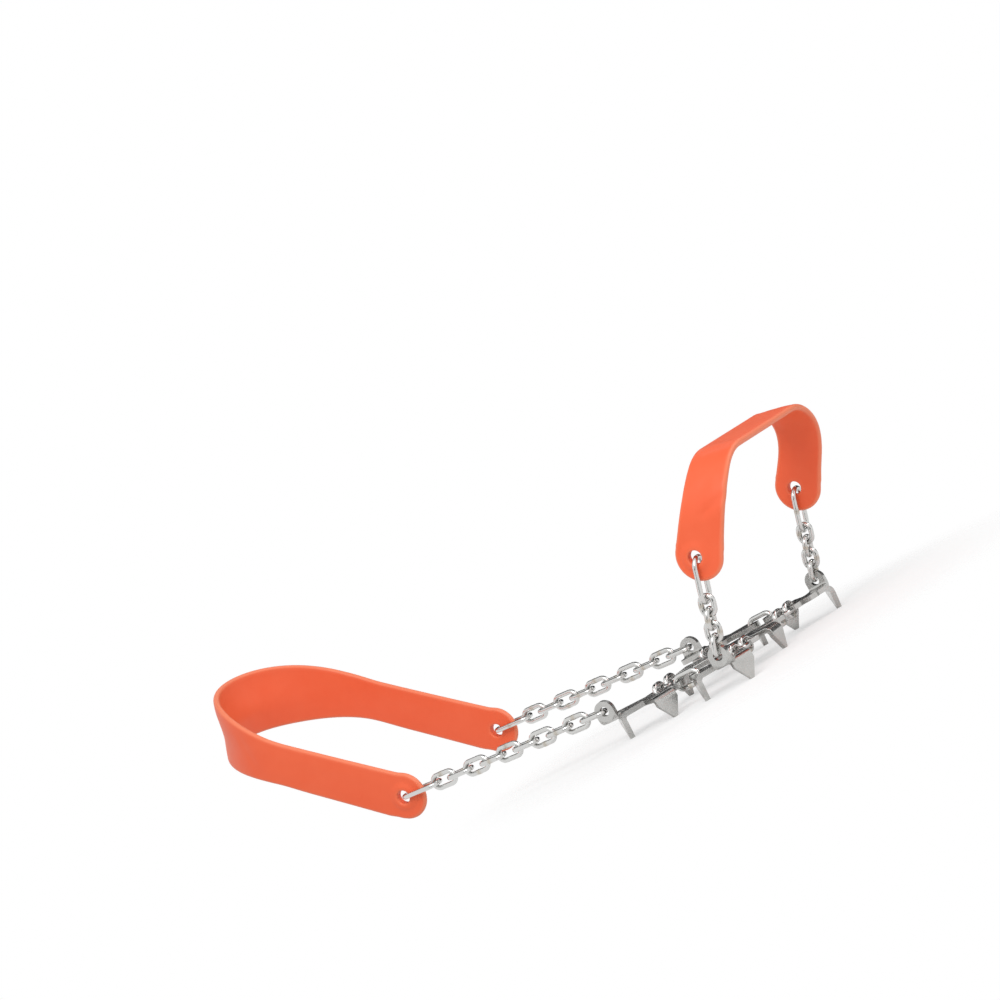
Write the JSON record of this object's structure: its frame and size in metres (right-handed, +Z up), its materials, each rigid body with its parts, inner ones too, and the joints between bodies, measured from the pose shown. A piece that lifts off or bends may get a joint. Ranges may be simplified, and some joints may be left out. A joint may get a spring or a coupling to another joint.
{
  "type": "chain crampon",
  "caption": "Slip-on chain crampon: spiked steel plates joined by welded links under the forefoot, held on a boot by an elastic toe band and heel band.",
  "frame": {"origin": "middle of the centre plate's top face, where the boot sole rests", "axes": "+X towards the toe, +Y to the wearer's left, +Z up out of the top face"},
  "size_m": [0.2875, 0.105, 0.0937],
  "materials": {
    "steel_sheet": "stamped and tumbled stainless sheet",
    "steel_wire": "bright welded stainless wire",
    "orange_elastomer": "moulded matte elastomer"
  },
  "bodies": {
    "plates": {"centre_plate": "steel_sheet", "front_plate_right": "steel_sheet", "front_plate_left": "steel_sheet", "rear_plate_right": "steel_sheet", "rear_plate_left": "steel_sheet"},
    "toe_links_1": {"toe_link_1_right": "steel_wire", "toe_link_1_left": "steel_wire"},
    "toe_links_2": {"toe_link_2_right": "steel_wire", "toe_link_2_left": "steel_wire"},
    "toe_links_3": {"toe_link_3_right": "steel_wire", "toe_link_3_left": "steel_wire"},
    "toe_links_4": {"toe_link_4_right": "steel_wire", "toe_link_4_left": "steel_wire"},
    "toe_band_links": {"toe_band_link_right": "steel_wire", "toe_band_link_left": "steel_wire"},
    "toe_strap": {"toe_band": "orange_elastomer"},
    "heel_links_1": {"heel_link_1_right": "steel_wire", "heel_link_1_left": "steel_wire"},
    "heel_links_2": {"heel_link_2_right": "steel_wire", "heel_link_2_left": "steel_wire"},
    "heel_links_3": {"heel_link_3_right": "steel_wire", "heel_link_3_left": "steel_wire"},
    "heel_links_4": {"heel_link_4_right": "steel_wire", "heel_link_4_left": "steel_wire"},
    "heel_links_5": {"heel_link_5_right": "steel_wire", "heel_link_5_left": "steel_wire"},
    "heel_links_6": {"heel_link_6_right": "steel_wire", "heel_link_6_left": "steel_wire"},
    "heel_links_7": {"heel_link_7_right": "steel_wire", "heel_link_7_left": "steel_wire"},
    "heel_links_8": {"heel_link_8_right": "steel_wire", "heel_link_8_left": "steel_wire"},
    "heel_links_9": {"heel_link_9_right": "steel_wire", "heel_link_9_left": "steel_wire"},
    "heel_links_10": {"heel_link_10_right": "steel_wire", "heel_link_10_left": "steel_wire"},
    "heel_band_links": {"heel_band_link_right": "steel_wire", "heel_band_link_left": "steel_wire"},
    "heel_strap": {"heel_band": "orange_elastomer"},
    "side_link_right": {"side_link_right": "steel_wire"},
    "front_cross_link_1_right": {"front_cross_link_1_right": "steel_wire"},
    "front_cross_link_2_right": {"front_cross_link_2_right": "steel_wire"},
    "front_cross_link_3_right": {"front_cross_link_3_right": "steel_wire"},
    "rear_cross_link_1_right": {"rear_cross_link_1_right": "steel_wire"},
    "rear_cross_link_2_right": {"rear_cross_link_2_right": "steel_wire"},
    "rear_cross_link_3_right": {"rear_cross_link_3_right": "steel_wire"},
    "side_link_left": {"side_link_left": "steel_wire"},
    "front_cross_link_1_left": {"front_cross_link_1_left": "steel_wire"},
    "front_cross_link_2_left": {"front_cross_link_2_left": "steel_wire"},
    "front_cross_link_3_left": {"front_cross_link_3_left": "steel_wire"},
    "rear_cross_link_1_left": {"rear_cross_link_1_left": "steel_wire"},
    "rear_cross_link_2_left": {"rear_cross_link_2_left": "steel_wire"},
    "rear_cross_link_3_left": {"rear_cross_link_3_left": "steel_wire"}
  },
  "joints": [
    {"name": "toe_links_1_swing", "type": "hinge", "parent": "plates", "child": "toe_links_1", "pos_m": [0.02358, 0, 0.00314], "axis": [0, 1, 0], "range_deg": [-15, 15]},
    {"name": "toe_links_2_swing", "type": "hinge", "parent": "toe_links_1", "child": "toe_links_2", "pos_m": [0.02605, 0, 0.01011], "axis": [0, 1, 0], "range_deg": [-15, 15]},
    {"name": "toe_links_3_swing", "type": "hinge", "parent": "toe_links_2", "child": "toe_links_3", "pos_m": [0.02699, 0, 0.01275], "axis": [0, 1, 0], "range_deg": [-15, 15]},
    {"name": "toe_links_4_swing", "type": "hinge", "parent": "toe_links_3", "child": "toe_links_4", "pos_m": [0.02946, 0, 0.01972], "axis": [0, 1, 0], "range_deg": [-15, 15]},
    {"name": "toe_band_links_swing", "type": "hinge", "parent": "toe_links_4", "child": "toe_band_links", "pos_m": [0.03039, 0, 0.02236], "axis": [0, 1, 0], "range_deg": [-15, 15]},
    {"name": "toe_strap_swing", "type": "hinge", "parent": "toe_band_links", "child": "toe_strap", "pos_m": [0.03607, 0, 0.03839], "axis": [0, 1, 0], "range_deg": [-15, 15]},
    {"name": "heel_links_1_swing", "type": "hinge", "parent": "plates", "child": "heel_links_1", "pos_m": [-0.03625, 0, 0.00292], "axis": [0, 1, 0], "range_deg": [-8, 8]},
    {"name": "heel_links_2_swing", "type": "hinge", "parent": "heel_links_1", "child": "heel_links_2", "pos_m": [-0.04683, 0, 0.00356], "axis": [0, 1, 0], "range_deg": [-8, 8]},
    {"name": "heel_links_3_swing", "type": "hinge", "parent": "heel_links_2", "child": "heel_links_3", "pos_m": [-0.05282, 0, 0.00393], "axis": [0, 1, 0], "range_deg": [-8, 8]},
    {"name": "heel_links_4_swing", "type": "hinge", "parent": "heel_links_3", "child": "heel_links_4", "pos_m": [-0.0634, 0, 0.00458], "axis": [0, 1, 0], "range_deg": [-8, 8]},
    {"name": "heel_links_5_swing", "type": "hinge", "parent": "heel_links_4", "child": "heel_links_5", "pos_m": [-0.06939, 0, 0.00494], "axis": [0, 1, 0], "range_deg": [-8, 8]},
    {"name": "heel_links_6_swing", "type": "hinge", "parent": "heel_links_5", "child": "heel_links_6", "pos_m": [-0.07997, 0, 0.00559], "axis": [0, 1, 0], "range_deg": [-8, 8]},
    {"name": "heel_links_7_swing", "type": "hinge", "parent": "heel_links_6", "child": "heel_links_7", "pos_m": [-0.08596, 0, 0.00596], "axis": [0, 1, 0], "range_deg": [-8, 8]},
    {"name": "heel_links_8_swing", "type": "hinge", "parent": "heel_links_7", "child": "heel_links_8", "pos_m": [-0.09654, 0, 0.0066], "axis": [0, 1, 0], "range_deg": [-8, 8]},
    {"name": "heel_links_9_swing", "type": "hinge", "parent": "heel_links_8", "child": "heel_links_9", "pos_m": [-0.10253, 0, 0.00697], "axis": [0, 1, 0], "range_deg": [-8, 8]},
    {"name": "heel_links_10_swing", "type": "hinge", "parent": "heel_links_9", "child": "heel_links_10", "pos_m": [-0.1131, 0, 0.00762], "axis": [0, 1, 0], "range_deg": [-8, 8]},
    {"name": "heel_band_links_swing", "type": "hinge", "parent": "heel_links_10", "child": "heel_band_links", "pos_m": [-0.11909, 0, 0.00798], "axis": [0, 1, 0], "range_deg": [-8, 8]},
    {"name": "heel_strap_swing", "type": "hinge", "parent": "heel_band_links", "child": "heel_strap", "pos_m": [-0.13606, 0, 0.00902], "axis": [0, 1, 0], "range_deg": [-8, 8]},
    {"name": "side_link_right_roll", "type": "hinge", "parent": "plates", "child": "side_link_right", "pos_m": [0, -0.036, -0.001], "axis": [1, 0, 0], "range_deg": [-15, 15]},
    {"name": "front_cross_link_1_right_roll", "type": "hinge", "parent": "plates", "child": "front_cross_link_1_right", "pos_m": [0.01825, -0.02705, -0.001], "axis": [0, 1, 0], "range_deg": [-15, 15]},
    {"name": "front_cross_link_2_right_roll", "type": "hinge", "parent": "plates", "child": "front_cross_link_2_right", "pos_m": [0.01825, -0.02195, -0.001], "axis": [0, 1, 0], "range_deg": [-15, 15]},
    {"name": "front_cross_link_3_right_roll", "type": "hinge", "parent": "plates", "child": "front_cross_link_3_right", "pos_m": [0.01825, -0.01685, -0.001], "axis": [0, 1, 0], "range_deg": [-15, 15]},
    {"name": "rear_cross_link_1_right_roll", "type": "hinge", "parent": "plates", "child": "rear_cross_link_1_right", "pos_m": [-0.01825, -0.02705, -0.001], "axis": [0, 1, 0], "range_deg": [-15, 15]},
    {"name": "rear_cross_link_2_right_roll", "type": "hinge", "parent": "plates", "child": "rear_cross_link_2_right", "pos_m": [-0.01825, -0.02195, -0.001], "axis": [0, 1, 0], "range_deg": [-15, 15]},
    {"name": "rear_cross_link_3_right_roll", "type": "hinge", "parent": "plates", "child": "rear_cross_link_3_right", "pos_m": [-0.01825, -0.01685, -0.001], "axis": [0, 1, 0], "range_deg": [-15, 15]},
    {"name": "side_link_left_roll", "type": "hinge", "parent": "plates", "child": "side_link_left", "pos_m": [0, 0.036, -0.001], "axis": [1, 0, 0], "range_deg": [-15, 15]},
    {"name": "front_cross_link_1_left_roll", "type": "hinge", "parent": "plates", "child": "front_cross_link_1_left", "pos_m": [0.01825, 0.02705, -0.001], "axis": [0, 1, 0], "range_deg": [-15, 15]},
    {"name": "front_cross_link_2_left_roll", "type": "hinge", "parent": "plates", "child": "front_cross_link_2_left", "pos_m": [0.01825, 0.02195, -0.001], "axis": [0, 1, 0], "range_deg": [-15, 15]},
    {"name": "front_cross_link_3_left_roll", "type": "hinge", "parent": "plates", "child": "front_cross_link_3_left", "pos_m": [0.01825, 0.01685, -0.001], "axis": [0, 1, 0], "range_deg": [-15, 15]},
    {"name": "rear_cross_link_1_left_roll", "type": "hinge", "parent": "plates", "child": "rear_cross_link_1_left", "pos_m": [-0.01825, 0.02705, -0.001], "axis": [0, 1, 0], "range_deg": [-15, 15]},
    {"name": "rear_cross_link_2_left_roll", "type": "hinge", "parent": "plates", "child": "rear_cross_link_2_left", "pos_m": [-0.01825, 0.02195, -0.001], "axis": [0, 1, 0], "range_deg": [-15, 15]},
    {"name": "rear_cross_link_3_left_roll", "type": "hinge", "parent": "plates", "child": "rear_cross_link_3_left", "pos_m": [-0.01825, 0.01685, -0.001], "axis": [0, 1, 0], "range_deg": [-15, 15]}
  ]
}
